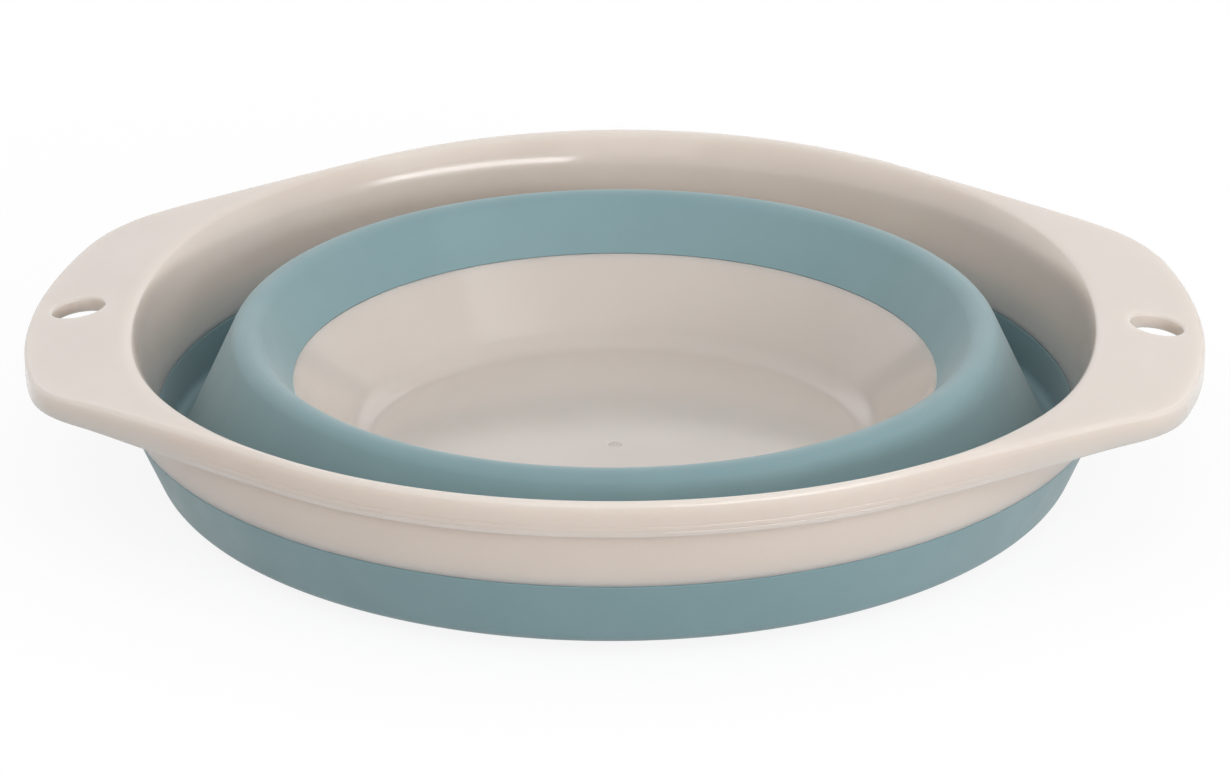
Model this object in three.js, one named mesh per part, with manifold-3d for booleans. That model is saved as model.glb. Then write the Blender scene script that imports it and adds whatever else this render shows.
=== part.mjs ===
// Collapsible bowl: a hard rim with two handles, a soft folding wall and a hard base dish.
// Millimetres, +Z up, handles along X, standing on z = 0, folded flat as it is stored.
import * as THREE from 'three';
import { mergeVertices } from 'three/addons/utils/BufferGeometryUtils.js';
import Module from 'manifold-3d';

const wasm = await Module();
wasm.setup();

// Rim
const BORE = 242; // inside diameter under the sloping lip
const FOLDED_HEIGHT = 43.6; // table to the top of the rim, at its front and back
const RIM_DIP = 3.1; // how far the top of the rim falls from its front and back to the handles
const LIP_DEPTH = 6.8; // top of the rim, at its front and back, to the foot of the sloping lip
const LIP_REACH = 3.4; // how far the lip slopes in from the top to the bore
const LIP_CREASE = 2; // how far the soft crease at the lip's foot runs up the lip and down the bore
const CREASE_LIMIT = 0.5; // most of the lip that the crease may use, as a share
const LIP_FADE = 30; // degrees from the middle of a handle over which the lip grows to its full size
const EDGE_DEPTH = 2.6; // top of the rim to the foot of the lip, in the middle of a handle
const EDGE_REACH = 0.8; // how far the lip slopes in, in the middle of a handle
const INNER_ROUND = 1; // how far the round between top and lip runs down the lip
const CREST_EASE = 3.4; // how far that round runs over the top, where the top is wide enough
const CREST_LIMIT = 0.96; // most of the top that the round may use, as a share
const RIM_FLAT = 0.8; // top of the rim between the lip and its outer round, at front and back
const EDGE_ROUND = 1.3; // round between the top and the skirt
const SKIRT_DEPTH = 8.7; // height of the rim's outer edge
const COLLAR_WALL = 3.6; // thickness of the collar just under the rim
const COLLAR_DRAFT = 0.6; // how far the collar's outside draws in on its way down
const COLLAR_DEPTH = 22.2; // top of the rim to the collar's outer lower edge
const COLLAR_TAPER = 4.5; // how far the bore draws in down to the tongue's lower edge
const BORE_BOW = 1; // how far the bore is drawn out from a straight line
const TONGUE_LENGTH = 5.3; // part of the collar that the soft wall laps round
const TONGUE_WALL = 2.2;

// Handles
const HANDLE_REACH = 22.5; // how far a handle stands out from the rim
const HANDLE_WIDTH = 114; // across the corners, before they are rounded
const CORNER_ROUND = 36;
const HANDLE_SLOPE = 0.1; // further fall of the top per millimetre beyond the rim
const HANDLE_EASE = 8; // half the length over which that fall sets in
const HANDLE_EDGE = 6; // height of the outer edge at a handle's tip
const HANDLE_PLATE = 4.2; // thickness of the handle inside its skirt
const SKIRT_WALL = 2.2;
const COLLAR_LEDGE = 1; // material kept between the collar and the hollow under a handle
const HANG_HOLE = 13.4;
const HOLE_FROM_TIP = 12; // hole centre to handle tip

// Soft wall
const BAND_WALL = 2.2; // thickness of the wall at its folds
const FOLD_BEND = 3.5; // bend radius of both folds, on the middle of the wall
const FOLD_CLEARANCE = 2.8; // lower fold above the table
const FOLD_INSET = 3.3; // tongue's edge to the lower fold, inwards
const BAND_REACH = 19.8; // lower fold to crest, inwards
const CREST_DROP = 6; // top of the rim to the top of the crest
const OUTER_LAP_WALL = 2.9; // thickness of the wall where it laps the collar
const INNER_LAP_WALL = 1.8; // thickness of the wall where it laps the base
const INNER_LAP_LENGTH = 5;

// Base dish
const SLOPE_REACH = 11.6; // crest to the edge of the base, inwards
const BASE_HEIGHT = 23.7; // table to the upper edge of the base
const DISH_TAPER = 14.8; // edge of the base to the corner of its floor, inwards
const FLOOR_HEIGHT = 3; // table to the floor
const DISH_ROUND = 9; // round between the floor and the side
const BASE_WALL = 2.2;
const FOOT_WIDTH = 6;
const FOOT_HEIGHT = 1; // hollow under the middle of the base

// Clearance between pieces that are moulded on to each other
const GAP = 0.3;

// Fineness of the facets
const RIM_STEPS = 144;
const ROUND_STEPS = 72;
const HOLE_STEPS = 32;
const POCKET_STEPS = 36;
const BEND_STEPS = 4; // along each fold and along the dish's round
const EDGE_STEPS = 3; // along the rim's small rounds
const CREASE_STEPS = 2; // round the crease at the lip's foot
const BORE_STEPS = 4; // down the curve of the bore

const HARD_COLOUR = 0xd3c8bf;
const SOFT_COLOUR = 0x6f9398;

// Places that several pieces share
const point = (radius, height) => new THREE.Vector2(radius, height);
const boreRadius = BORE / 2;
const rimCrest = boreRadius + LIP_REACH + RIM_FLAT;
const ringRadius = rimCrest + EDGE_ROUND;
const tipRadius = ringRadius + HANDLE_REACH;
const collarRadius = boreRadius + COLLAR_WALL;
const collarFoot = point(collarRadius - COLLAR_DRAFT, FOLDED_HEIGHT - COLLAR_DEPTH);
const tongueEdge = point(boreRadius - COLLAR_TAPER, collarFoot.y - TONGUE_LENGTH);
const bendOutside = FOLD_BEND + BAND_WALL / 2;
const bendInside = FOLD_BEND - BAND_WALL / 2;
const fold = point(tongueEdge.x - FOLD_INSET, FOLD_CLEARANCE + bendOutside);
const crest = point(fold.x - BAND_REACH, FOLDED_HEIGHT - CREST_DROP - bendOutside);
const baseEdge = point(crest.x - SLOPE_REACH, BASE_HEIGHT);
const floorCorner = point(baseEdge.x - DISH_TAPER, FLOOR_HEIGHT);

// Plan of a handle: an arc about the axis, a rounded corner and a straight edge that meets the ring
const straightNormal = Math.asin(HANDLE_WIDTH / 2 / tipRadius) + Math.acos(ringRadius / tipRadius);
const cornerDistance = tipRadius - CORNER_ROUND;
const cornerAngle = straightNormal - Math.acos((ringRadius - CORNER_ROUND) / cornerDistance);
const cornerCentre = point(cornerDistance, 0).rotateAround(point(0, 0), cornerAngle);
const cornerEnd = point(CORNER_ROUND, 0).rotateAround(point(0, 0), straightNormal).add(cornerCentre);

function arc(centre, radius, from, to, steps) {
  return Array.from({ length: steps + 1 }, (_, i) => {
    const angle = from + ((to - from) * i) / steps;
    return point(centre.x + radius * Math.cos(angle), centre.y + radius * Math.sin(angle));
  });
}

function bow(from, middle, to, steps) {
  return new THREE.QuadraticBezierCurve(from, middle, to).getPoints(steps);
}

// Angle, seen from a circle's centre, of the place where a line from a point outside touches it.
function tangentAngle(centre, radius, outside) {
  const away = outside.clone().sub(centre);
  return away.angle() - Math.acos(radius / away.length());
}

// Height of the top of rim and handles, which dips towards the handles and falls on out to their tips.
function topHeight(radius, angle) {
  const across = radius * Math.abs(Math.cos(angle));
  const beyond = across - rimCrest;
  const easing = Math.max(0, beyond + HANDLE_EASE) ** 2 / (4 * HANDLE_EASE);
  const fall = beyond > HANDLE_EASE ? beyond : easing;
  return FOLDED_HEIGHT - RIM_DIP * (across / rimCrest) ** 2 - HANDLE_SLOPE * fall;
}

// Height of the outer edge, which grows from the handles' tips to the ring.
function edgeHeight(outerRadius) {
  const share = (outerRadius - ringRadius) / (tipRadius - ringRadius);
  return THREE.MathUtils.lerp(SKIRT_DEPTH, HANDLE_EDGE, share);
}

// Plan outline of ring and handles: how far out it lies at an angle from the X axis.
function outlineRadius(angle) {
  const turn = Math.atan2(Math.abs(Math.sin(angle)), Math.abs(Math.cos(angle)));
  if (turn <= cornerAngle) {
    return tipRadius;
  }
  if (turn >= straightNormal) {
    return ringRadius;
  }
  if (turn >= cornerEnd.angle()) {
    return ringRadius / Math.cos(straightNormal - turn);
  }
  const along = cornerDistance * Math.cos(turn - cornerAngle);
  const aside = cornerDistance * Math.sin(turn - cornerAngle);
  return along + Math.sqrt(CORNER_ROUND ** 2 - aside ** 2);
}

// A solid whose section, listed anticlockwise as (radius, height), is given at each angle about Z.
// It closes on itself after a full turn, or has flat ends.
function sweep(angles, sectionAt, fullTurn) {
  const sections = angles.map(sectionAt);
  const size = sections[0].length;
  const positions = sections.flatMap((section, i) => section.flatMap((p) => [
    p.x * Math.cos(angles[i]), p.x * Math.sin(angles[i]), p.y,
  ]));
  const faces = [];
  const spans = fullTurn ? angles.length : angles.length - 1;
  for (let i = 0; i < spans; i += 1) {
    const here = i * size;
    const next = ((i + 1) % angles.length) * size;
    for (let j = 0; j < size; j += 1) {
      const k = (j + 1) % size;
      faces.push(here + j, next + j, here + k, next + k, here + k, next + j);
    }
  }
  if (!fullTurn) {
    const last = spans * size;
    for (let j = 1; j < size - 1; j += 1) {
      faces.push(0, j, j + 1, last, last + j + 1, last + j);
    }
  }
  const geometry = new THREE.BufferGeometry();
  geometry.setAttribute('position', new THREE.Float32BufferAttribute(positions, 3));
  geometry.setIndex(faces);
  return geometry;
}

function toSolid(geometry) {
  const bare = geometry.clone();
  bare.deleteAttribute('normal');
  bare.deleteAttribute('uv');
  const merged = mergeVertices(bare);
  return new wasm.Manifold(new wasm.Mesh({
    numProp: 3,
    vertProperties: new Float32Array(merged.attributes.position.array),
    triVerts: new Uint32Array(merged.index.array),
  }));
}

function toGeometry(solid) {
  const mesh = solid.getMesh();
  const geometry = new THREE.BufferGeometry();
  geometry.setAttribute('position', new THREE.BufferAttribute(mesh.vertProperties, 3));
  geometry.setIndex(new THREE.BufferAttribute(mesh.triVerts, 1));
  return geometry;
}

function spread(from, to, steps) {
  return Array.from({ length: steps + 1 }, (_, i) => from + ((to - from) * i) / steps);
}

function revolve(section) {
  const geometry = new THREE.LatheGeometry([...section, section[0]], ROUND_STEPS);
  return geometry.rotateX(Math.PI / 2);
}

// Corner between the top and the sloping lip, and the lip's foot. In the middle of a handle the lip is narrow.
function lip(angle) {
  const turn = Math.atan2(Math.abs(Math.sin(angle)), Math.abs(Math.cos(angle)));
  const share = THREE.MathUtils.smoothstep(turn, 0, THREE.MathUtils.degToRad(LIP_FADE));
  const radius = boreRadius + THREE.MathUtils.lerp(EDGE_REACH, LIP_REACH, share);
  const narrow = topHeight(boreRadius, angle) - EDGE_DEPTH;
  const foot = point(boreRadius, THREE.MathUtils.lerp(narrow, FOLDED_HEIGHT - LIP_DEPTH, share));
  return { corner: point(radius, topHeight(radius, angle)), foot };
}

// A place so far from one point on the way to another.
function towards(from, to, distance) {
  return to.clone().sub(from).setLength(distance).add(from);
}

// Inside of the rim: from the top round and down the lip, round its crease and down the bore to the tongue.
function insideLine(angle, edgeRadius) {
  const { corner, foot } = lip(angle);
  const startRadius = corner.x + Math.min(CREST_EASE, CREST_LIMIT * (edgeRadius - corner.x));
  const start = point(startRadius, topHeight(startRadius, angle));
  const boreMiddle = foot.clone().lerp(tongueEdge, 0.5).add(point(BORE_BOW, 0));
  const boreStart = towards(foot, boreMiddle, LIP_CREASE);
  const crease = Math.min(LIP_CREASE, CREASE_LIMIT * corner.distanceTo(foot));
  return [
    ...bow(start, corner, towards(corner, foot, INNER_ROUND), EDGE_STEPS),
    ...bow(towards(foot, corner, crease), foot, boreStart, CREASE_STEPS),
    ...bow(boreStart, boreMiddle, tongueEdge, BORE_STEPS).slice(1, -1),
  ];
}

// Rim: tongue, collar, skirt, top and bore, in one moulding with the handles.
function rimSection(angle) {
  const outerRadius = outlineRadius(angle);
  const edge = point(outerRadius - EDGE_ROUND, topHeight(outerRadius - EDGE_ROUND, angle));
  const skirtFoot = edge.y - edgeHeight(outerRadius);
  return [
    tongueEdge,
    point(tongueEdge.x + TONGUE_WALL, tongueEdge.y),
    point(collarFoot.x - OUTER_LAP_WALL, collarFoot.y),
    collarFoot,
    point(collarRadius, skirtFoot),
    point(outerRadius, skirtFoot),
    ...arc(point(edge.x, edge.y - EDGE_ROUND), EDGE_ROUND, 0, Math.PI / 2, EDGE_STEPS),
    ...insideLine(angle, edge.x),
  ];
}

// Hollow under a handle, open below. It runs out along the straight edges, at half the skirt's thickness.
function handlePocket() {
  const inner = collarRadius + COLLAR_LEDGE;
  const runOut = inner + SKIRT_WALL / 2 + SKIRT_WALL;
  const reach = straightNormal - Math.acos(ringRadius / runOut);
  const below = topHeight(tipRadius, 0) - SKIRT_DEPTH;
  return sweep(spread(-reach, reach, POCKET_STEPS), (angle) => {
    const outer = outlineRadius(angle) - SKIRT_WALL;
    return [
      point(inner, below),
      point(outer, below),
      point(outer, topHeight(outer, angle) - HANDLE_PLATE),
      point(inner, topHeight(inner, angle) - HANDLE_PLATE),
    ];
  }, false);
}

// Hole to hang the bowl by, cut from the table up.
function hangHole() {
  const hole = new THREE.CylinderGeometry(HANG_HOLE / 2, HANG_HOLE / 2, 2 * FOLDED_HEIGHT, HOLE_STEPS);
  return hole.rotateX(Math.PI / 2).translate(tipRadius - HOLE_FROM_TIP, 0, FOLDED_HEIGHT);
}

function rimGeometry() {
  const angles = spread(0, 2 * Math.PI, RIM_STEPS).slice(0, -1);
  let solid = toSolid(sweep(angles, rimSection, true));
  for (const turn of [0, Math.PI]) {
    for (const cut of [handlePocket(), hangHole()]) {
      solid = solid.subtract(toSolid(cut.rotateZ(turn)));
    }
  }
  return toGeometry(solid);
}

// Soft wall from the collar down and round to the middle of the lower fold.
function outerBandSection() {
  const top = point(collarFoot.x, collarFoot.y - GAP);
  const tongueFoot = point(tongueEdge.x, tongueEdge.y - GAP);
  const cut = fold.x + GAP / 2;
  const outerEnd = tangentAngle(fold, bendOutside, top);
  const innerEnd = tangentAngle(fold, bendInside, tongueFoot);
  return [
    point(cut, fold.y - bendOutside),
    ...arc(fold, bendOutside, -Math.PI / 2, outerEnd, BEND_STEPS).slice(1),
    top,
    point(top.x - OUTER_LAP_WALL + GAP, top.y),
    point(tongueFoot.x + TONGUE_WALL + GAP, tongueFoot.y),
    tongueFoot,
    ...arc(fold, bendInside, innerEnd, -Math.PI / 2, BEND_STEPS).slice(0, -1),
    point(cut, fold.y - bendInside),
  ];
}

// Soft wall between the two folds: the cone that turns inside out as the bowl opens.
function foldingBandSection() {
  const across = fold.clone().sub(crest);
  const side = Math.atan2(across.y, across.x) + Math.acos((bendOutside + bendInside) / across.length());
  const foldSide = side - Math.PI;
  const foldCut = fold.x - GAP / 2;
  const crestCut = crest.x + GAP / 2;
  return [
    point(foldCut, fold.y - bendOutside),
    point(foldCut, fold.y - bendInside),
    ...arc(fold, bendInside, -Math.PI / 2, foldSide, BEND_STEPS).slice(1),
    ...arc(crest, bendOutside, side, Math.PI / 2, BEND_STEPS).slice(0, -1),
    point(crestCut, crest.y + bendOutside),
    point(crestCut, crest.y + bendInside),
    ...arc(crest, bendInside, Math.PI / 2, side, BEND_STEPS).slice(1),
    ...arc(fold, bendOutside, foldSide, -Math.PI / 2, BEND_STEPS).slice(0, -1),
  ];
}

// A place beside the upper edge of the base: so far up along its side and so far out from its inside.
function besideBase(along, through) {
  const slope = baseEdge.clone().sub(floorCorner).angle();
  const up = point(Math.cos(slope), Math.sin(slope));
  const out = point(Math.sin(slope), -Math.cos(slope));
  return baseEdge.clone().addScaledVector(up, along).addScaledVector(out, through);
}

// Soft wall from the middle of the crest down to the base, which it laps on the outside.
function innerBandSection() {
  const foot = besideBase(GAP, 0);
  const touch = tangentAngle(crest, bendOutside, foot);
  const lap = BASE_WALL + GAP;
  const cut = crest.x - GAP / 2;
  return [
    besideBase(-INNER_LAP_LENGTH, lap),
    besideBase(-INNER_LAP_LENGTH, lap + INNER_LAP_WALL),
    ...arc(crest, bendInside, touch, Math.PI / 2, BEND_STEPS).slice(0, -1),
    point(cut, crest.y + bendInside),
    point(cut, crest.y + bendOutside),
    ...arc(crest, bendOutside, Math.PI / 2, touch, BEND_STEPS).slice(1),
    foot,
    besideBase(GAP, lap),
  ];
}

// Base: a shallow dish standing on a foot ring.
function baseSection() {
  const slope = baseEdge.clone().sub(floorCorner).angle();
  const outerEdge = besideBase(0, BASE_WALL);
  const footRadius = outerEdge.x - outerEdge.y / Math.tan(slope);
  const footInner = footRadius - FOOT_WIDTH;
  const flat = floorCorner.x - DISH_ROUND * Math.tan(slope / 2);
  const roundCentre = point(flat, FLOOR_HEIGHT + DISH_ROUND);
  return [
    point(0, FOOT_HEIGHT),
    point(footInner - FOOT_HEIGHT, FOOT_HEIGHT),
    point(footInner, 0),
    point(footRadius, 0),
    outerEdge,
    baseEdge,
    ...arc(roundCentre, DISH_ROUND, slope - Math.PI / 2, -Math.PI / 2, BEND_STEPS),
    point(0, FLOOR_HEIGHT),
  ];
}

const hard = new THREE.MeshStandardMaterial({ color: HARD_COLOUR, roughness: 0.35, metalness: 0 });
const soft = new THREE.MeshStandardMaterial({ color: SOFT_COLOUR, roughness: 0.6, metalness: 0 });

function piece(name, geometry, material) {
  const mesh = new THREE.Mesh(geometry, material);
  mesh.name = name;
  return mesh;
}

const bowl = new THREE.Group();
bowl.name = 'collapsible_bowl';
bowl.add(piece('rim_with_handles', rimGeometry(), hard));
bowl.add(piece('outer_wall_band', revolve(outerBandSection()), soft));
bowl.add(piece('folding_wall_band', revolve(foldingBandSection()), soft));
bowl.add(piece('inner_wall_band', revolve(innerBandSection()), soft));
bowl.add(piece('base_dish', revolve(baseSection()), hard));

export default bowl;
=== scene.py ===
# Collapsible bowl: finished surfaces around the packed model, in its frame, in metres.
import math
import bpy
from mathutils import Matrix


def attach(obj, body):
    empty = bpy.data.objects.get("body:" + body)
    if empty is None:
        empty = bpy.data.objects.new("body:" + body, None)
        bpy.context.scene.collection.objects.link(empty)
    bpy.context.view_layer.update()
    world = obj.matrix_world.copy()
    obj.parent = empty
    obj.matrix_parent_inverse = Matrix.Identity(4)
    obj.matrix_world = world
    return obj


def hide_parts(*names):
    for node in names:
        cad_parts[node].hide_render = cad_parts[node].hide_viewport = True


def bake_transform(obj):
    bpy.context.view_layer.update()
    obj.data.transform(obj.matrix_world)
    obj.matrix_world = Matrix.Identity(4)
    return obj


bl_info = {
    "name": "Collapsible bowl",
    "version": (1, 0, 0),
    "blender": (4, 5, 0),
    "location": "View3D > Sidebar > Bowl",
    "description": "Builds the rim with handles, the soft folding wall, the base dish and a studio stage",
    "category": "Object",
}

import bmesh
import bpy
from bpy.props import FloatProperty, FloatVectorProperty, PointerProperty
from mathutils import Quaternion, Vector

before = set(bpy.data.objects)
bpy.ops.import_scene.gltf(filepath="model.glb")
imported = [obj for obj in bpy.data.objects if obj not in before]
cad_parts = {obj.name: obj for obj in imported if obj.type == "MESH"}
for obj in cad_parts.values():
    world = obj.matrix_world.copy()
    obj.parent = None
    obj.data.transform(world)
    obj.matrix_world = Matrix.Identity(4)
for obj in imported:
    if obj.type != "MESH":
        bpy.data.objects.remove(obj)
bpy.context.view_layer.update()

MM = 0.001

# Fineness of the meshes
TURN_STEPS = 360
FILLET_STEPS = 4
ROUND_STEPS = 8
LIP_STEPS = 4
BORE_STEPS = 14
PLATE_STEPS = 12
SLOPE_STEPS = 26
HOLE_BLOCK_TURNS = 5  # turn steps on each side of a hang hole that are cut out of the grid for it
HOLE_BLOCK_FIRST = 2  # plate steps from the inner end of a handle's plate to that block
HOLE_BLOCK_LAST = 11  # plate steps from there to its far side
HOLE_RING_SHARES = (0.4, 0.75)  # rings of vertices on the way from the block's edge to the hole
RUNS_TO_TOP = 4  # runs of the rim's section, up to the end of its top
SEAM_STEP = 0.02  # share of a fold's arc next to the seam between two bands, so that they shade as one
CREST_LIMIT = 0.96  # most of the top that the round towards the lip may use
CREASE_LIMIT = 0.5  # most of the lip that the crease at its foot may use
FILLET_LIMIT = 0.45  # most of an edge that one fillet may use
SHARP_ANGLE = math.radians(40)
MERGE_DISTANCE = 1e-7
LEAST_POCKET = 0.02  # share of its depth that the hollow under a handle keeps, so that its corners stay apart
LEAST_LEDGE = 0.6  # share of the ledge that is left where the hollow runs out
LEAST_SKIRT = 0.4  # share of the skirt's wall that is left there
GROOVE_LINES = (1, 2)  # fine lines along the skirt, in pitches from its lower edge
GROOVE_FADE = 0.35  # share of the way to a handle's tip over which these lines run out
GATE_STEPS = ((1.0, 0.0), (0.8, 1.0), (0.45, 1.0), (0.3, 0.25))  # gate mark, shares of its radius and depth
GATE_ROUND = 1 / 6  # round on its edges, as a share of its radius


def length(name, millimetres, description):
    return FloatProperty(
        name=name, description=description, default=millimetres * MM, min=0.0, precision=4, unit="LENGTH"
    )


def colour(name, value, description):
    return FloatVectorProperty(
        name=name, description=description, default=value, min=0.0, max=1.0, size=3, subtype="COLOR"
    )


def factor(name, value, description):
    return FloatProperty(
        name=name, description=description, default=value, min=0.0, max=1.0, subtype="FACTOR"
    )


def power(name, watts, description):
    return FloatProperty(name=name, description=description, default=watts, min=0.0, unit="POWER")


class BowlRimSizes(bpy.types.PropertyGroup):
    """Sizes of the hard rim"""

    bore: length("Bore", 242, "Inside diameter under the sloping lip")
    folded_height: length("Folded height", 43.6, "Table to the top of the rim, at its front and back")
    dip: length("Dip", 3.1, "How far the top falls from front and back to the handles")
    lip_depth: length("Lip depth", 6.8, "Top of the rim, at front and back, to the foot of the sloping lip")
    lip_reach: length("Lip reach", 3.4, "How far the lip slopes in from the top to the bore")
    lip_crease: length("Lip crease", 3.6, "How far the crease at the lip's foot runs up the lip and the bore")
    lip_fade: FloatProperty(
        name="Lip fade",
        description="Angle from the middle of a handle over which the lip grows to its full size",
        default=math.radians(30),
        subtype="ANGLE",
    )
    edge_depth: length("Edge depth", 2.6, "Top of the rim to the foot of the lip, in the middle of a handle")
    edge_reach: length("Edge reach", 0.8, "How far the lip slopes in, in the middle of a handle")
    inner_round: length("Inner round", 1, "How far the round between top and lip runs down the lip")
    crest_ease: length("Crest ease", 3.4, "How far that round runs over the top, where there is room")
    flat: length("Flat", 0.8, "Top of the rim between the lip and its outer round, at front and back")
    edge_round: length("Edge round", 1.3, "Round between the top and the skirt")
    skirt_depth: length("Skirt depth", 8.7, "Height of the rim's outer edge")
    skirt_wall: length("Skirt wall", 2.2, "Thickness of the handles' outer edge")
    groove_depth: length("Groove depth", 0.14, "Depth of the fine lines along the skirt")
    groove_width: length("Groove width", 0.45, "Width of the fine lines along the skirt")
    groove_pitch: length("Groove pitch", 1.35, "Spacing of the fine lines, from the skirt's lower edge")
    collar_wall: length("Collar wall", 3.6, "Thickness of the collar just under the rim")
    collar_draft: length("Collar draft", 0.6, "How far the collar's outside draws in on its way down")
    collar_depth: length("Collar depth", 22.2, "Top of the rim to the collar's outer lower edge")
    collar_taper: length("Collar taper", 4.5, "How far the bore draws in down to the tongue")
    bore_bow: length("Bore bow", 1, "How far the bore is drawn out from a straight line")
    tongue_length: length("Tongue length", 5.3, "Part of the collar that the soft wall laps round")
    tongue_wall: length("Tongue wall", 2.2, "Thickness of that part")
    moulded_round: length("Moulded round", 0.4, "Round on the small moulded edges")


class BowlHandleSizes(bpy.types.PropertyGroup):
    """Sizes of the handles"""

    reach: length("Reach", 22.5, "How far a handle stands out from the rim")
    width: length("Width", 114, "Across the corners, before they are rounded")
    corner_round: length("Corner round", 36, "Plan radius of the corners")
    slope: factor("Slope", 0.1, "Further fall of the top beyond the rim")
    ease: length("Ease", 8, "Half the length over which that fall sets in")
    edge: length("Edge", 6, "Height of the outer edge at the tip")
    plate: length("Plate", 4.2, "Thickness inside the skirt")
    ledge: length("Ledge", 1, "Material between the collar and the hollow under a handle")
    hole: length("Hang hole", 13.4, "Diameter of the hang hole")
    hole_round: length("Hole round", 0.8, "Round on the hang hole's edges")
    hole_from_tip: length("Hole from tip", 12, "Hole centre to handle tip")


class BowlWallSizes(bpy.types.PropertyGroup):
    """Sizes of the soft wall"""

    thickness: length("Thickness", 2.2, "Thickness of the wall at its folds")
    bend: length("Bend", 3.5, "Bend radius of both folds, on the middle of the wall")
    clearance: length("Clearance", 2.8, "Lower fold above the table")
    inset: length("Inset", 3.3, "Tongue's edge to the lower fold, inwards")
    reach: length("Reach", 19.8, "Lower fold to crest, inwards")
    crest_drop: length("Crest drop", 6, "Top of the rim to the top of the crest")
    outer_lap: length("Outer lap", 2.9, "Thickness of the wall where it laps the collar")
    inner_lap: length("Inner lap", 1.8, "Thickness of the wall where it laps the base")
    inner_lap_length: length("Inner lap length", 5, "How far the wall laps the base")
    joint_gap: length("Joint line", 0.08, "Fine line between the hard and the soft plastic")


class BowlBaseSizes(bpy.types.PropertyGroup):
    """Sizes of the base dish"""

    slope_reach: length("Slope reach", 11.6, "Crest to the edge of the base, inwards")
    height: length("Height", 23.7, "Table to the upper edge of the base")
    taper: length("Taper", 14.8, "Edge of the base to the corner of its floor, inwards")
    floor: length("Floor", 3, "Table to the floor")
    dish_round: length("Dish round", 9, "Round between the floor and the side")
    wall: length("Wall", 2.2, "Thickness of the side")
    foot_width: length("Foot width", 6, "Width of the foot ring")
    foot_height: length("Foot height", 1, "Hollow under the middle")
    gate_radius: length("Gate radius", 1.75, "Radius of the moulding mark in the middle of the floor")
    gate_depth: length("Gate depth", 0.3, "Depth of the moulding mark")


class BowlFinish(bpy.types.PropertyGroup):
    """Colours and gloss of the two plastics"""

    hard: colour("Hard plastic", (0.63, 0.563, 0.514), "Warm grey of rim and base")
    hard_shade: colour("Hard shade", (0.607, 0.539, 0.489), "Slightly deeper grey of its cloudy variation")
    hard_gloss: factor("Hard roughness", 0.15, "Roughness of rim and base")
    rim_depth: length("Rim depth", 10, "How far light runs into the rim's plastic")
    base_depth: length("Base depth", 5, "How far light runs into the base's plastic")
    soft: colour("Soft wall", (0.193, 0.308, 0.331), "Grey teal of the wall")
    soft_shade: colour("Soft shade", (0.18, 0.291, 0.313), "Slightly deeper teal of its cloudy variation")
    soft_gloss: factor("Soft roughness", 0.52, "Roughness of the wall")


class BowlStage(bpy.types.PropertyGroup):
    """Camera and light"""

    camera_distance: length("Camera distance", 1093.5, "Camera to the bowl's axis, level")
    camera_height: length("Camera height", 482.6, "Camera above the table")
    camera_lens: FloatProperty(name="Lens", description="Focal length in millimetres", default=136.1, min=1.0)
    camera_turn: FloatProperty(
        name="Turn", description="Camera's way round the bowl from the front", default=0.055, subtype="ANGLE"
    )
    camera_pitch: FloatProperty(
        name="Pitch", description="How far the camera looks down", default=0.401, subtype="ANGLE"
    )
    camera_roll: FloatProperty(name="Roll", description="Camera's roll", default=-0.005, subtype="ANGLE")
    world_light: FloatProperty(name="Room light", description="Strength of the room", default=0.85, min=0.0)
    front_light: power("Front light", 0.9, "Softbox over the camera")
    side_light: power("Side light", 1.1, "Softbox at the right")
    strip_light: power("Strip light", 6.7, "Long light at the front right")
    back_light: power("Back light", 1.5, "Wide softbox behind")
    floor: colour("Floor", (0.5, 0.5, 0.5), "Pale floor")
    floor_glow: factor("Floor glow", 0.88, "Share of plain white in what the camera sees of the floor")


# Shared places, worked out from the sizes


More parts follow.
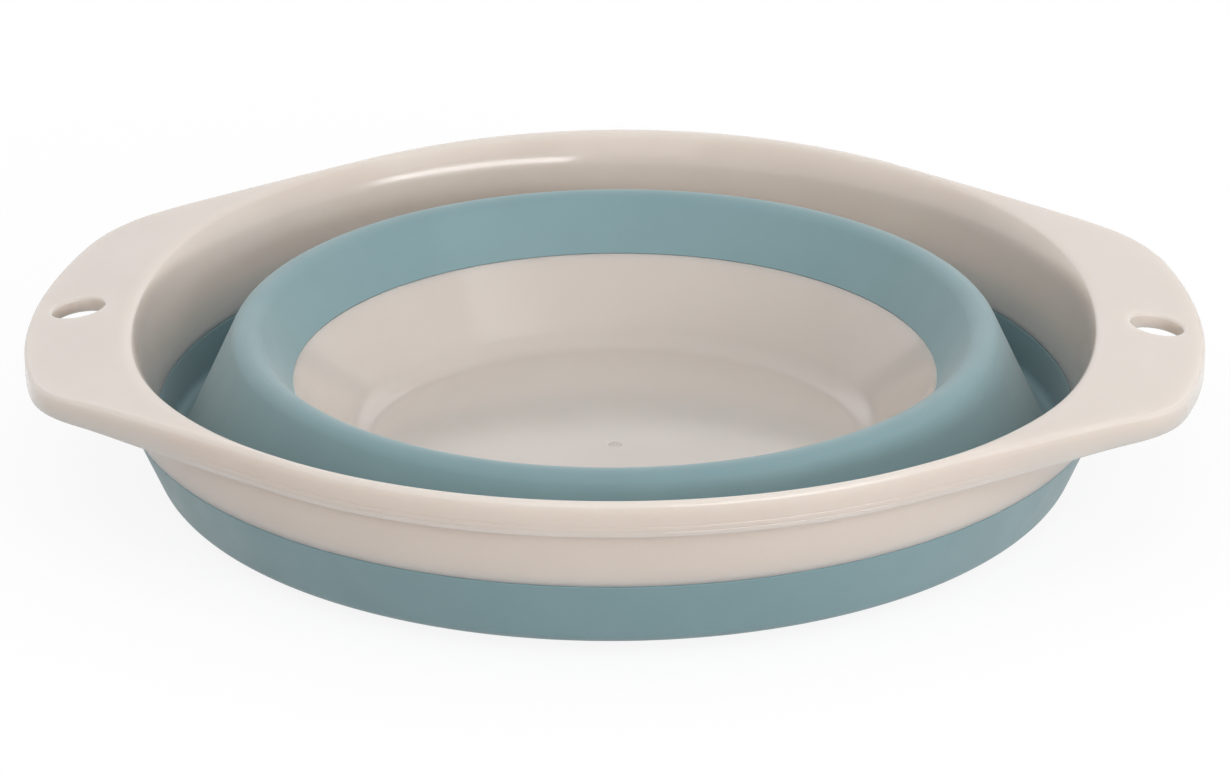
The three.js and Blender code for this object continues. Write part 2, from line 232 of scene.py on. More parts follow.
class Places:
    """Radii, heights and the plan outline that several pieces share"""

    def __init__(self, scene):
        rim, handle, wall, base = scene.bowl_rim, scene.bowl_handle, scene.bowl_wall, scene.bowl_base
        self.rim, self.handle, self.wall, self.base = rim, handle, wall, base
        self.bore = rim.bore / 2
        self.crest_line = self.bore + rim.lip_reach + rim.flat
        self.ring = self.crest_line + rim.edge_round
        self.tip = self.ring + handle.reach
        self.collar = self.bore + rim.collar_wall
        self.collar_foot = Vector((self.collar - rim.collar_draft, rim.folded_height - rim.collar_depth))
        self.tongue = Vector((self.bore - rim.collar_taper, self.collar_foot.y - rim.tongue_length))
        self.bend_outside = wall.bend + wall.thickness / 2
        self.bend_inside = wall.bend - wall.thickness / 2
        self.fold = Vector((self.tongue.x - wall.inset, wall.clearance + self.bend_outside))
        crest_top = rim.folded_height - wall.crest_drop
        self.crest = Vector((self.fold.x - wall.reach, crest_top - self.bend_outside))
        self.base_edge = Vector((self.crest.x - base.slope_reach, base.height))
        self.floor_corner = Vector((self.base_edge.x - base.taper, base.floor))
        self.base_up = (self.base_edge - self.floor_corner).normalized()
        self.base_out = Vector((self.base_up.y, -self.base_up.x))
        self.plan_handle()

    def plan_handle(self):
        """A handle's plan: an arc about the axis, a rounded corner and a straight edge that meets the ring"""
        corner_round = self.handle.corner_round
        self.straight_normal = math.asin(self.handle.width / 2 / self.tip) + math.acos(self.ring / self.tip)
        self.corner_distance = self.tip - corner_round
        from_normal = math.acos((self.ring - corner_round) / self.corner_distance)
        self.corner_angle = self.straight_normal - from_normal
        end = polar(self.corner_distance, self.corner_angle) + polar(corner_round, self.straight_normal)
        self.corner_end = math.atan2(end.y, end.x)

    def outline(self, angle):
        """How far out the plan outline of ring and handles lies"""
        turn = math.atan2(abs(math.sin(angle)), abs(math.cos(angle)))
        if turn <= self.corner_angle:
            return self.tip
        if turn >= self.straight_normal:
            return self.ring
        if turn >= self.corner_end:
            return self.ring / math.cos(self.straight_normal - turn)
        along = self.corner_distance * math.cos(turn - self.corner_angle)
        aside = self.corner_distance * math.sin(turn - self.corner_angle)
        return along + math.sqrt(self.handle.corner_round**2 - aside**2)

    def top(self, across):
        """Height of the top of rim and handles at a distance from the middle along the handles"""
        beyond = abs(across) - self.crest_line
        ease = self.handle.ease
        fall = beyond if beyond > ease else max(0.0, beyond + ease) ** 2 / (4 * ease)
        dip = self.rim.dip * (across / self.crest_line) ** 2
        return self.rim.folded_height - dip - self.handle.slope * fall

    def lip(self, angle):
        """Corner between top and lip, and the lip's foot; the lip is narrow in the middle of a handle"""
        rim, across = self.rim, math.cos(angle)
        share = smooth(0.0, rim.lip_fade, math.atan2(abs(math.sin(angle)), abs(across)))
        radius = self.bore + rim.edge_reach + (rim.lip_reach - rim.edge_reach) * share
        narrow = Vector((self.bore, self.top(self.bore * across) - rim.edge_depth))
        full = Vector((self.bore, rim.folded_height - rim.lip_depth))
        return Vector((radius, self.top(radius * across))), narrow.lerp(full, share)

    def handle_share(self, outer):
        """0 on the ring, 1 at a handle's tip"""
        return (outer - self.ring) / (self.tip - self.ring)

    def beside_base(self, along, through):
        """A place so far up along the base's side and so far out from its inside"""
        return self.base_edge + self.base_up * along + self.base_out * through


# Drawing sections


def polar(radius, angle):
    return Vector((radius * math.cos(angle), radius * math.sin(angle)))


def spread(start, end, steps):
    return [start + (end - start) * i / steps for i in range(steps + 1)]


def smooth(low, high, value):
    share = min(1.0, max(0.0, (value - low) / (high - low)))
    return share * share * (3 - 2 * share)


def arc(centre, radius, start, end, steps):
    return [centre + polar(radius, angle) for angle in spread(start, end, steps)]


def fold_arc(centre, radius, seam, end):
    """An arc from a seam between two bands, with one short step beside the seam"""
    angles = spread(seam, end, ROUND_STEPS)
    angles.insert(1, seam + (end - seam) * SEAM_STEP)
    return [centre + polar(radius, angle) for angle in angles]


def bezier(start, control, end, steps):
    return [
        start * (1 - t) ** 2 + control * 2 * t * (1 - t) + end * t**2
        for t in spread(0.0, 1.0, steps)
    ]


def tangent_angle(centre, radius, outside):
    """Angle, seen from a circle's centre, where a line from a point outside touches it"""
    away = outside - centre
    return math.atan2(away.y, away.x) % (2 * math.pi) - math.acos(radius / away.length)


def fillet(before, here, after, radius):
    back = before - here
    on = after - here
    half = back.angle(on) / 2
    reach = min(radius / math.tan(half), FILLET_LIMIT * back.length, FILLET_LIMIT * on.length)
    return bezier(here + back.normalized() * reach, here, here + on.normalized() * reach, FILLET_STEPS)


def rounded(corners):
    """A closed section from (point, radius) corners; a radius of 0 keeps the point"""
    points = []
    for i, (here, radius) in enumerate(corners):
        if radius == 0:
            points.append(here)
            continue
        before = corners[i - 1][0]
        after = corners[(i + 1) % len(corners)][0]
        points.extend(fillet(before, here, after, radius))
    return points


def plain(points):
    return [(point, 0) for point in points]


# Making meshes


def turn_grid(mesh, angles, section_at):
    """One row of vertices for each angle about Z"""
    rows = []
    for angle in angles:
        row = [
            mesh.verts.new((p.x * math.cos(angle), p.x * math.sin(angle), p.y))
            for p in section_at(angle)
        ]
        rows.append(row)
    return rows


def skin_grid(mesh, rows, closed, skip=frozenset()):
    """Faces between the rows, all the way round; closed joins each row's end to its start"""
    columns = len(rows[0]) if closed else len(rows[0]) - 1
    for i, row in enumerate(rows):
        following = rows[(i + 1) % len(rows)]
        for j in range(columns):
            if (i, j) in skip:
                continue
            k = (j + 1) % len(row)
            mesh.faces.new((row[j], following[j], following[k], row[k]))


def turn_angles():
    return spread(0.0, 2 * math.pi, TURN_STEPS)[:-1]


def make_piece(name, mesh, material):
    """A smooth-shaded object from a bmesh"""
    bmesh.ops.remove_doubles(mesh, verts=mesh.verts, dist=MERGE_DISTANCE)
    bmesh.ops.dissolve_degenerate(mesh, edges=mesh.edges, dist=MERGE_DISTANCE)
    bmesh.ops.recalc_face_normals(mesh, faces=mesh.faces)
    data = bpy.data.meshes.new(name)
    mesh.to_mesh(data)
    mesh.free()
    data.shade_smooth()
    data.set_sharp_from_angle(angle=SHARP_ANGLE)
    data.materials.append(material)
    piece = bpy.data.objects.new(name, data)
    bpy.context.scene.collection.objects.link(piece)
    return piece


def weigh_normals(piece):
    """Keeps broad faces flat beside small rounds"""
    modifier = piece.modifiers.new("weighted normals", "WEIGHTED_NORMAL")
    modifier.keep_sharp = True


def revolve(name, section, material):
    """A closed section turned about Z"""
    mesh = bmesh.new()
    skin_grid(mesh, turn_grid(mesh, turn_angles(), lambda angle: section), closed=True)
    piece = make_piece(name, mesh, material)
    weigh_normals(piece)
    return piece


# Rim and handles


def pocket_span(places, outer):
    """Inner and outer radius and depth share of the hollow under a handle; it runs out beside the ring"""
    wall = places.rim.skirt_wall
    open_share = smooth(places.ring, places.ring + 2 * wall, outer)
    inner = places.collar + places.handle.ledge * (LEAST_LEDGE + (1 - LEAST_LEDGE) * open_share)
    outside = outer - wall * (LEAST_SKIRT + (1 - LEAST_SKIRT) * open_share)
    opening = smooth(places.ring + wall, places.ring + 3 * wall, outer)
    return inner, outside, max(opening, LEAST_POCKET)


def tongue_run(places):
    rim, lap = places.rim, places.wall.outer_lap
    foot = places.collar_foot
    small = rim.moulded_round / 2
    return [
        (places.tongue, small),
        (Vector((places.tongue.x + rim.tongue_wall, places.tongue.y)), small),
        (Vector((foot.x - lap, foot.y)), small),
        (foot, small),
    ]


def under_run(places, angle, outer, foot):
    """Underside from the collar to the skirt: ledge, hollow and the skirt's lower edge"""
    inner, outside, depth = pocket_span(places, outer)
    small = places.rim.moulded_round

    def roof(radius):
        full = places.top(radius * math.cos(angle)) - places.handle.plate
        return Vector((radius, foot + (full - foot) * depth))

    radii = spread(inner, outside, PLATE_STEPS)
    start = [
        (Vector((places.collar, foot)), small),
        (Vector((inner, foot)), small),
        (roof(inner), small),
    ]
    middle = plain([roof(radius) for radius in radii[1:-1]])
    end = [
        (roof(outside), small),
        (Vector((outside, foot)), small),
    ]
    return start, middle, end


def skirt_run(places, outer, foot, edge):
    """Outer edge with its fine lines, up to the round at the top"""
    rim = places.rim
    depth = rim.groove_depth * (1 - smooth(0.0, GROOVE_FADE, places.handle_share(outer)))
    corners = [(Vector((outer, foot)), rim.moulded_round)]
    for line in GROOVE_LINES:
        height = foot + rim.groove_pitch * line
        corners += plain([
            Vector((outer, height - rim.groove_width / 2)),
            Vector((outer - depth, height)),
            Vector((outer, height + rim.groove_width / 2)),
        ])
    centre = Vector((edge.x, edge.y - rim.edge_round))
    return corners + plain(arc(centre, rim.edge_round, 0.0, math.pi / 2, ROUND_STEPS))


def towards(start, end, distance):
    """A place so far from one point on the way to another"""
    return start + (end - start).normalized() * distance


def inside_run(places, start, corner, foot):
    """From the top of the rim round and down the lip, round its crease and down the bore to the tongue"""
    rim = places.rim
    bore_middle = foot.lerp(places.tongue, 0.5) + Vector((rim.bore_bow, 0.0))
    bore_start = towards(foot, bore_middle, rim.lip_crease)
    crease = min(rim.lip_crease, CREASE_LIMIT * (corner - foot).length)
    slope = (towards(corner, foot, rim.inner_round), towards(foot, corner, crease))
    points = bezier(start, corner, slope[0], ROUND_STEPS)[1:]
    points += [slope[0].lerp(slope[1], share) for share in spread(0.0, 1.0, LIP_STEPS)[1:]]
    points += bezier(slope[1], foot, bore_start, ROUND_STEPS)[1:]
    return points + bezier(bore_start, bore_middle, places.tongue, BORE_STEPS)[1:-1]


def rim_runs(places, angle):
    """The rim's section at an angle, in runs whose lengths are the same at every angle"""
    rim = places.rim
    outer = places.outline(angle)
    edge = Vector((outer - rim.edge_round, places.top((outer - rim.edge_round) * math.cos(angle))))
    foot = edge.y - rim.skirt_depth - (places.handle.edge - rim.skirt_depth) * places.handle_share(outer)
    corner, lip_foot = places.lip(angle)
    ease = min(rim.crest_ease, CREST_LIMIT * (edge.x - corner.x))
    top = [
        Vector((radius, places.top(radius * math.cos(angle))))
        for radius in spread(edge.x, corner.x + ease, PLATE_STEPS)
    ]
    inside = inside_run(places, top[-1], corner, lip_foot)
    start, middle, end = under_run(places, angle, outer, foot)
    skirt = end + skirt_run(places, outer, foot, edge)
    return [tongue_run(places) + start, middle, skirt, plain(top[1:]), plain(inside)]


def rim_section(places, angle):
    return rounded([corner for run in rim_runs(places, angle) for corner in run])


def point_count(run):
    """How many points a run of corners has once it is rounded"""
    return sum(1 if radius == 0 else FILLET_STEPS + 1 for _, radius in run)


def block_loop(rows, middle, first, last):
    """The vertices round a block of the grid, in order, and the faces inside it"""
    low, high = middle - HOLE_BLOCK_TURNS, middle + HOLE_BLOCK_TURNS
    count = len(rows)
    path = [(i, first) for i in range(low, high)]
    path += [(high, j) for j in range(first, last)]
    path += [(i, last) for i in range(high, low, -1)]
    path += [(low, j) for j in range(last, first, -1)]
    faces = {(i % count, j) for i in range(low, high) for j in range(first, last)}
    return [rows[i % count][j] for i, j in path], faces


def hole_rings(places, hole_x, loop, surface, under):
    """Rings of places from a block's edge to the hole's wall, on the top or on the underside"""
    radius = places.handle.hole / 2
    edge = places.handle.hole_round
    centre = Vector((hole_x, 0.0))
    ways = [(vert.co.xy - centre).normalized() for vert in loop]
    rings = []
    for share in HOLE_RING_SHARES:
        ring = []
        for vert, way in zip(loop, ways):
            spot = vert.co.xy.lerp(centre + way * (radius + edge), share)
            ring.append((spot.x, spot.y, surface(spot.x)))
        rings.append(ring)
    for turn in spread(0.0, math.pi / 2, ROUND_STEPS):
        sink = edge * (1 - math.cos(turn))
        ring = []
        for way in ways:
            rim_spot = centre + way * (radius + edge)
            spot = centre + way * (radius + edge * (1 - math.sin(turn)))
            ring.append((spot.x, spot.y, surface(rim_spot.x) + (sink if under else -sink)))
        rings.append(ring)
    return rings


def bridge(mesh, before, after):
    for i in range(len(before)):
        k = (i + 1) % len(before)
        mesh.faces.new((before[i], before[k], after[k], after[i]))


def line_hole(mesh, places, hole_x, top_loop, under_loop):
    """Joins the top and the underside through a round-edged hole"""
    plate = places.handle.plate
    down = hole_rings(places, hole_x, top_loop, places.top, under=False)
    up = hole_rings(places, hole_x, under_loop, lambda x: places.top(x) - plate, under=True)
    last = top_loop
    for ring in down + up[::-1]:
        verts = [mesh.verts.new(place) for place in ring]
        bridge(mesh, last, verts)
        last = verts
    bridge(mesh, last, under_loop)


def match_loops(top_loop, under_loop):
    """The lower loop, in the upper loop's order: its radii run the other way"""
    nearest = []
    for vert in top_loop:
        nearest.append(min(range(len(under_loop)), key=lambda i: (under_loop[i].co.xy - vert.co.xy).length))
    start = nearest[0]
    step = 1 if (nearest[2] - nearest[1]) % len(under_loop) == 1 else -1
    return [under_loop[(start + step * i) % len(under_loop)] for i in range(len(under_loop))]


def rim_mesh(places):
    """Rim and handles as one grid round the axis, with a block cut out of it for each hang hole"""
    mesh = bmesh.new()
    rows = turn_grid(mesh, turn_angles(), lambda angle: rim_section(places, angle))
    sizes = [point_count(run) for run in rim_runs(places, 0.0)]
    under_start = sizes[0] - 1
    top_end = sum(sizes[:RUNS_TO_TOP]) - 1
    hole_x = places.tip - places.handle.hole_from_tip
    skip = set()
    holes = []
    for across, middle in ((hole_x, 0), (-hole_x, TURN_STEPS // 2)):
        top_loop, top_faces = block_loop(rows, middle, top_end - HOLE_BLOCK_LAST, top_end - HOLE_BLOCK_FIRST)
        under_loop, under_faces = block_loop(
            rows, middle, under_start + HOLE_BLOCK_FIRST, under_start + HOLE_BLOCK_LAST
        )
        skip |= top_faces | under_faces
        holes.append((across, top_loop, match_loops(top_loop, under_loop)))
    skin_grid(mesh, rows, closed=True, skip=skip)
    for across, top_loop, under_loop in holes:
        line_hole(mesh, places, across, top_loop, under_loop)
    return mesh


# Soft wall


def outer_band_section(places):
    """From the collar down and round to the middle of the lower fold"""
    wall, rim = places.wall, places.rim
    top = Vector((places.collar_foot.x, places.collar_foot.y - wall.joint_gap))
    tongue_foot = Vector((places.tongue.x, places.tongue.y - wall.joint_gap))
    down = -math.pi / 2
    outside_touch = tangent_angle(places.fold, places.bend_outside, top)
    inside_touch = tangent_angle(places.fold, places.bend_inside, tongue_foot)
    outside = fold_arc(places.fold, places.bend_outside, down, outside_touch)
    inside = fold_arc(places.fold, places.bend_inside, down, inside_touch)
    small = rim.moulded_round
    corners = plain(outside)
    corners += [
        (top, small),
        (Vector((top.x - wall.outer_lap + wall.joint_gap, top.y)), 0),
        (Vector((tongue_foot.x + rim.tongue_wall + wall.joint_gap, tongue_foot.y)), 0),
        (tongue_foot, small),
    ]
    return rounded(corners + plain(inside[::-1]))


def inner_band_section(places):
    """From the middle of the crest down to the base, which it laps on the outside"""
    wall = places.wall
    foot = places.beside_base(wall.joint_gap, 0)
    touch = tangent_angle(places.crest, places.bend_outside, foot)
    lap = places.base.wall + wall.joint_gap
    upright = math.pi / 2
    under = fold_arc(places.crest, places.bend_inside, upright, touch)
    over = fold_arc(places.crest, places.bend_outside, upright, touch)
    corners = [
        (places.beside_base(-wall.inner_lap_length, lap), 0),
        (places.beside_base(-wall.inner_lap_length, lap + wall.inner_lap), places.rim.moulded_round),
    ]
    corners += plain(under[::-1] + over)
    corners += [
        (foot, places.rim.moulded_round / 2),
        (places.beside_base(wall.joint_gap, lap), 0),
    ]
    return rounded(corners)


def folding_band_line(places):
    """Middle of the wall between the two folds, from the crest down to the lower fold"""
    across = places.fold - places.crest
    bend = places.wall.bend
    side = math.atan2(across.y, across.x) + math.acos(2 * bend / across.length)
    over = fold_arc(places.crest, bend, math.pi / 2, side)
    under = fold_arc(places.fold, bend, -math.pi / 2, side - math.pi)[::-1]
    slope = [over[-1].lerp(under[0], share) for share in spread(0.0, 1.0, SLOPE_STEPS)[1:-1]]
    return over + slope + under


def mark_open_edges(data):
    """Makes a sheet's open edges sharp, so that its thickened ends shade apart from its sides"""
    found = data.attributes.get("sharp_edge")
    sharp = found or data.attributes.new("sharp_edge", "BOOLEAN", "EDGE")
    uses = [0] * len(data.edges)
    for loop in data.loops:
        uses[loop.edge_index] += 1
    sharp.data.foreach_set("value", [count == 1 for count in uses])


def folding_band_piece(places, material):
    """A sheet on the middle of the wall, thickened on both sides"""
    line = folding_band_line(places)
    mesh = bmesh.new()
    skin_grid(mesh, turn_grid(mesh, turn_angles(), lambda angle: line), closed=False)
    piece = make_piece("folding_wall", mesh, material)
    mark_open_edges(piece.data)
    solidify = piece.modifiers.new("wall thickness", "SOLIDIFY")
    solidify.thickness = places.wall.thickness
    solidify.offset = 0.0
    solidify.use_even_offset = True
    return piece, line


# Base dish


def base_section(places):
    base = places.base
    small = places.rim.moulded_round
    slope = math.atan2(places.base_up.y, places.base_up.x)
    outer_edge = places.beside_base(0, base.wall)
    foot_outer = outer_edge.x - outer_edge.y / math.tan(slope)
    foot_inner = foot_outer - base.foot_width
    flat = places.floor_corner.x - base.dish_round * math.tan(slope / 2)
    centre = Vector((flat, base.floor + base.dish_round))
    gate, depth = base.gate_radius, base.gate_depth
    corners = [
        (Vector((0.0, base.foot_height)), 0),
        (Vector((foot_inner - base.foot_height, base.foot_height)), small),
        (Vector((foot_inner, 0.0)), small),
        (Vector((foot_outer, 0.0)), 2 * small),
        (outer_edge, small / 2),
        (places.base_edge, small / 2),
    ]
    corners += plain(arc(centre, base.dish_round, slope - math.pi / 2, -math.pi / 2, 2 * ROUND_STEPS))
    for reach, sink in GATE_STEPS:
        corners.append((Vector((gate * reach, base.floor - depth * sink)), gate * GATE_ROUND))
    corners.append((Vector((0.0, corners[-1][0].y)), 0))
    return rounded(corners)


# Materials

NOISE_SPAN = (0.3, 0.7)  # where nearly all of a noise texture's values lie
HARD_GLOSS_CHANGE = 0.04  # how far the roughness of the hard plastic varies
HARD_IOR = 1.6
HARD_SCATTER = (1.0, 0.9, 0.82)  # how far red, green and blue light run in, as shares of the depth
SOFT_GLOSS_CHANGE = 0.05  # how far the roughness of the soft wall varies
SOFT_IOR = 1.45
SOFT_SHEEN = 0.25
SOFT_SHEEN_ROUGHNESS = 0.5


class Nodes:
    """Short calls for a material's nodes and links"""

    def __init__(self, name):
        self.material = bpy.data.materials.new(name)
        self.material.use_nodes = True
        self.tree = self.material.node_tree
        self.shader = self.tree.nodes["Principled BSDF"]
        coordinates = self.tree.nodes.new("ShaderNodeTexCoord")
        self.place = coordinates.outputs["Object"]

    def link(self, output, socket):
        self.tree.links.new(output, socket)

    def noise(self, scale, detail, roughness=0.5):
        node = self.tree.nodes.new("ShaderNodeTexNoise")
        node.inputs["Scale"].default_value = scale
        node.inputs["Detail"].default_value = detail
        node.inputs["Roughness"].default_value = roughness
        self.link(self.place, node.inputs["Vector"])
        return node.outputs["Fac"]

    def spread_values(self, value, low, high):
        """A noise value, spread over a range"""
        node = self.tree.nodes.new("ShaderNodeMapRange")
        node.inputs["From Min"].default_value = NOISE_SPAN[0]
        node.inputs["From Max"].default_value = NOISE_SPAN[1]
        node.inputs["To Min"].default_value = low
        node.inputs["To Max"].default_value = high
        self.link(value, node.inputs["Value"])
        return node.outputs["Result"]

    def vary(self, value, middle, change):
        """A noise value, spread so far to both sides of a middle"""
        return self.spread_values(value, middle - change, middle + change)

    def mix(self, value, first, second):
        node = self.tree.nodes.new("ShaderNodeMix")
        node.data_type = "RGBA"
        node.inputs["A"].default_value = (*first, 1.0)
        node.inputs["B"].default_value = (*second, 1.0)
        self.link(value, node.inputs["Factor"])
        return node.outputs["Result"]

    def bump(self, height, strength, distance):
        node = self.tree.nodes.new("ShaderNodeBump")
        node.inputs["Strength"].default_value = strength
        node.inputs["Distance"].default_value = distance
        self.link(height, node.inputs["Height"])
        return node.outputs["Normal"]


def hard_plastic(name, finish, depth):
    """Moulded plastic that light runs into: cloudy warm grey, satin gloss and a faint ripple"""
    nodes = Nodes(name)
    shader = nodes.shader
    cloud = nodes.spread_values(nodes.noise(scale=22.0, detail=3.0), 0.0, 1.0)
    nodes.link(nodes.mix(cloud, finish.hard, finish.hard_shade), shader.inputs["Base Color"])
    gloss = nodes.vary(nodes.noise(scale=60.0, detail=4.0), finish.hard_gloss, HARD_GLOSS_CHANGE)
    nodes.link(gloss, shader.inputs["Roughness"])
    ripple = nodes.bump(nodes.noise(scale=35.0, detail=1.0), strength=0.05, distance=0.002)
    nodes.link(ripple, shader.inputs["Normal"])
    shader.inputs["IOR"].default_value = HARD_IOR
    shader.inputs["Subsurface Weight"].default_value = 1.0
    shader.inputs["Subsurface Radius"].default_value = HARD_SCATTER
    shader.inputs["Subsurface Scale"].default_value = depth
    return nodes.material


def soft_plastic(finish):
    """Soft rubbery plastic, one material for all three bands: cloudy grey teal, dull, with a powdery grain"""
    found = bpy.data.materials.get("soft wall")
    if found:
        return found
    nodes = Nodes("soft wall")
    shader = nodes.shader
    cloud = nodes.spread_values(nodes.noise(scale=48.0, detail=5.0, roughness=0.6), 0.0, 1.0)
    nodes.link(nodes.mix(cloud, finish.soft, finish.soft_shade), shader.inputs["Base Color"])
    gloss = nodes.vary(nodes.noise(scale=120.0, detail=4.0), finish.soft_gloss, SOFT_GLOSS_CHANGE)
    nodes.link(gloss, shader.inputs["Roughness"])
    grain = nodes.bump(nodes.noise(scale=1500.0, detail=3.0), strength=0.08, distance=0.0002)
    nodes.link(grain, shader.inputs["Normal"])
    shader.inputs["IOR"].default_value = SOFT_IOR
    shader.inputs["Sheen Weight"].default_value = SOFT_SHEEN
    shader.inputs["Sheen Roughness"].default_value = SOFT_SHEEN_ROUGHNESS
    return nodes.material


# Operators, one for each piece or pair of like pieces


class BOWL_OT_rim(bpy.types.Operator):
    """Build the hard rim with its handles"""

    bl_idname = "bowl.rim"
    bl_label = "Rim with handles"

    def execute(self, context):
        finish = context.scene.bowl_finish
        material = hard_plastic("rim plastic", finish, finish.rim_depth)
        piece = make_piece("rim", rim_mesh(Places(context.scene)), material)
        weigh_normals(piece)
        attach(piece, "rim")
        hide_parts("rim_with_handles")
        return {"FINISHED"}


class BOWL_OT_wall_bands(bpy.types.Operator):
    """Build the two bands of the soft wall that stay with the rim and with the base"""

    bl_idname = "bowl.wall_bands"
    bl_label = "Outer and inner wall bands"

    def execute(self, context):
        places = Places(context.scene)
        bands = (
            ("outer_wall", outer_band_section(places), "rim", "outer_wall_band"),
            ("inner_wall", inner_band_section(places), "base", "inner_wall_band"),
        )
        for name, section, body, node in bands:
            piece = revolve(name, section, soft_plastic(context.scene.bowl_finish))
            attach(piece, body)
            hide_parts(node)
        return {"FINISHED"}


class BOWL_OT_folding_band(bpy.types.Operator):
    """Build the band that turns inside out as the bowl opens"""

    bl_idname = "bowl.folding_band"
    bl_label = "Folding wall band"

    def execute(self, context):
        piece, line = folding_band_piece(Places(context.scene), soft_plastic(context.scene.bowl_finish))
        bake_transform(piece)
        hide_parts("folding_wall_band")
        return {"FINISHED"}


class BOWL_OT_base(bpy.types.Operator):
    """Build the hard base dish"""

    bl_idname = "bowl.base"
    bl_label = "Base dish"

    def execute(self, context):
        finish = context.scene.bowl_finish
        material = hard_plastic("base plastic", finish, finish.base_depth)
        piece = revolve("base", base_section(Places(context.scene)), material)
        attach(piece, "base")
        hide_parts("base_dish")
        return {"FINISHED"}


# Stage and its operator

FLOOR_HALF = 4.0
FLOOR_DROP = 0.0002  # keeps the floor from lying in the foot's own plane
FLOOR_ROUGHNESS = 0.9
LIGHT_DISTANCE = 1.4
SENSOR_WIDTH = 36.0  # millimetres
WHITE = (1.0, 1.0, 1.0, 1.0)


def seen_directly(tree):
    """1 for rays from the camera or off a shiny surface, which are to see white, and 0 for plain light"""
    path = tree.nodes.new("ShaderNodeLightPath")
    found = path.outputs["Is Camera Ray"]
    for ray in ("Is Glossy Ray", "Is Transmission Ray"):
        either = tree.nodes.new("ShaderNodeMath")
        either.operation = "MAXIMUM"
        tree.links.new(found, either.inputs[0])
        tree.links.new(path.outputs[ray], either.inputs[1])
        found = either.outputs["Value"]
    return found


def stage_floor(stage):
    """A pale floor that the camera sees as nearly white, with the bowl's shadow left on it"""
    mesh = bmesh.new()
    bmesh.ops.create_grid(mesh, x_segments=1, y_segments=1, size=FLOOR_HALF)
    data = bpy.data.meshes.new("floor")
    mesh.to_mesh(data)
    mesh.free()
    floor = bpy.data.objects.new("floor", data)
    floor.location.z = -FLOOR_DROP
    bpy.context.scene.collection.objects.link(floor)
    nodes = Nodes("floor")
    nodes.shader.inputs["Base Color"].default_value = (*stage.floor, 1.0)
    nodes.shader.inputs["Roughness"].default_value = FLOOR_ROUGHNESS
    white = nodes.tree.nodes.new("ShaderNodeBsdfDiffuse")
    white.inputs["Color"].default_value = WHITE
    glow = nodes.tree.nodes.new("ShaderNodeEmission")
    seen = nodes.tree.nodes.new("ShaderNodeMixShader")
    seen.inputs["Fac"].default_value = stage.floor_glow
    nodes.link(white.outputs["BSDF"], seen.inputs[1])
    nodes.link(glow.outputs["Emission"], seen.inputs[2])
    mixer = nodes.tree.nodes.new("ShaderNodeMixShader")
    nodes.link(seen_directly(nodes.tree), mixer.inputs["Fac"])
    nodes.link(nodes.shader.outputs["BSDF"], mixer.inputs[1])
    nodes.link(seen.outputs["Shader"], mixer.inputs[2])
    nodes.link(mixer.outputs["Shader"], nodes.tree.nodes["Material Output"].inputs["Surface"])
    data.materials.append(nodes.material)


def stage_world(stage):
    """A white room: plain light on the bowl, and white where the camera looks past the floor"""
    world = bpy.data.worlds.new("room")
    bpy.context.scene.world = world
    world.use_nodes = True
    tree = world.node_tree
    background = tree.nodes["Background"]
    background.inputs["Color"].default_value = WHITE
    strength = tree.nodes.new("ShaderNodeMapRange")
    strength.inputs["To Min"].default_value = stage.world_light
    strength.inputs["To Max"].default_value = 1.0
    tree.links.new(seen_directly(tree), strength.inputs["Value"])
    tree.links.new(strength.outputs["Result"], background.inputs["Strength"])


def softbox(name, turn, rise, width, height, watts):
    """A soft light aimed at the bowl; turn in degrees from the front to the right, rise from the floor up"""
    light = bpy.data.lights.new(name, "AREA")
    light.shape = "RECTANGLE"
    light.size = width
    light.size_y = height
    light.energy = watts
    lamp = bpy.data.objects.new(name, light)
    level = polar(LIGHT_DISTANCE * math.cos(math.radians(rise)), math.radians(turn) - math.pi / 2)
    lamp.location = (*level, LIGHT_DISTANCE * math.sin(math.radians(rise)))
    lamp.rotation_euler = (-lamp.location).to_track_quat("-Z", "Y").to_euler()
    bpy.context.scene.collection.objects.link(lamp)


def stage_camera(stage):
    data = bpy.data.cameras.new("camera")
    data.lens = stage.camera_lens
    data.sensor_width = SENSOR_WIDTH
    data.sensor_fit = "HORIZONTAL"
    camera = bpy.data.objects.new("camera", data)
    turn = stage.camera_turn
    camera.location = (
        stage.camera_distance * math.sin(turn),
        -stage.camera_distance * math.cos(turn),
        stage.camera_height,
    )
    aim = Quaternion((0, 0, 1), turn) @ Quaternion((1, 0, 0), math.pi / 2 - stage.camera_pitch)
    camera.rotation_euler = (aim @ Quaternion((0, 0, 1), stage.camera_roll)).to_euler()
    bpy.context.scene.collection.objects.link(camera)
    bpy.context.scene.camera = camera


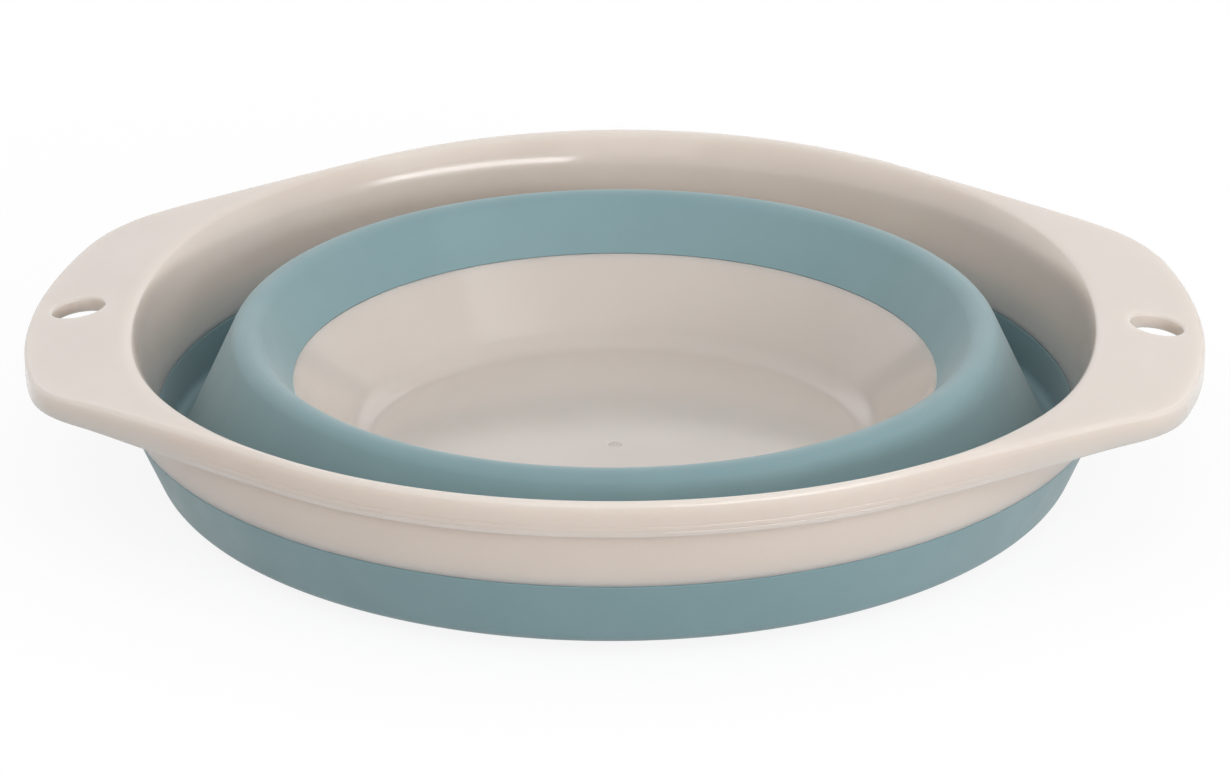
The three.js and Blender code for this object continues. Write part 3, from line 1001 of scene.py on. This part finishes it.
class BOWL_OT_stage(bpy.types.Operator):
    """Set up the floor, the room, the lights and the camera"""

    bl_idname = "bowl.stage"
    bl_label = "Stage"

    def execute(self, context):
        stage = context.scene.bowl_stage
        stage_floor(stage)
        stage_world(stage)
        softbox("front light", turn=0, rise=30, width=0.8, height=0.5, watts=stage.front_light)
        softbox("side light", turn=50, rise=38, width=0.8, height=0.5, watts=stage.side_light)
        softbox("strip light", turn=40, rise=17, width=1.3, height=0.21, watts=stage.strip_light)
        softbox("back light", turn=180, rise=30, width=2.2, height=0.6, watts=stage.back_light)
        stage_camera(stage)
        context.scene.view_settings.view_transform = "Standard"
        return {"FINISHED"}


# Panel and registration


class BOWL_PT_panel(bpy.types.Panel):
    """The bowl's pieces and sizes"""

    bl_label = "Collapsible bowl"
    bl_idname = "BOWL_PT_panel"
    bl_space_type = "VIEW_3D"
    bl_region_type = "UI"
    bl_category = "Bowl"

    def draw(self, context):
        for operator in OPERATORS:
            self.layout.operator(operator.bl_idname)
        for name, group in GROUPS.items():
            box = self.layout.box()
            box.label(text=group.__doc__)
            for size in group.__annotations__:
                box.prop(getattr(context.scene, name), size)


GROUPS = {
    "bowl_rim": BowlRimSizes,
    "bowl_handle": BowlHandleSizes,
    "bowl_wall": BowlWallSizes,
    "bowl_base": BowlBaseSizes,
    "bowl_finish": BowlFinish,
    "bowl_stage": BowlStage,
}
OPERATORS = (BOWL_OT_stage, BOWL_OT_rim, BOWL_OT_wall_bands, BOWL_OT_folding_band, BOWL_OT_base)


def register():
    for name, group in GROUPS.items():
        bpy.utils.register_class(group)
        setattr(bpy.types.Scene, name, PointerProperty(type=group))
    for cls in (*OPERATORS, BOWL_PT_panel):
        bpy.utils.register_class(cls)


def unregister():
    for cls in (BOWL_PT_panel, *reversed(OPERATORS)):
        bpy.utils.unregister_class(cls)
    for name, group in reversed(GROUPS.items()):
        delattr(bpy.types.Scene, name)
        bpy.utils.unregister_class(group)


def main():
    register()
    bpy.ops.bowl.stage()
    bpy.ops.bowl.rim()
    bpy.ops.bowl.wall_bands()
    bpy.ops.bowl.folding_band()
    bpy.ops.bowl.base()


if __name__ == "__main__":
    main()
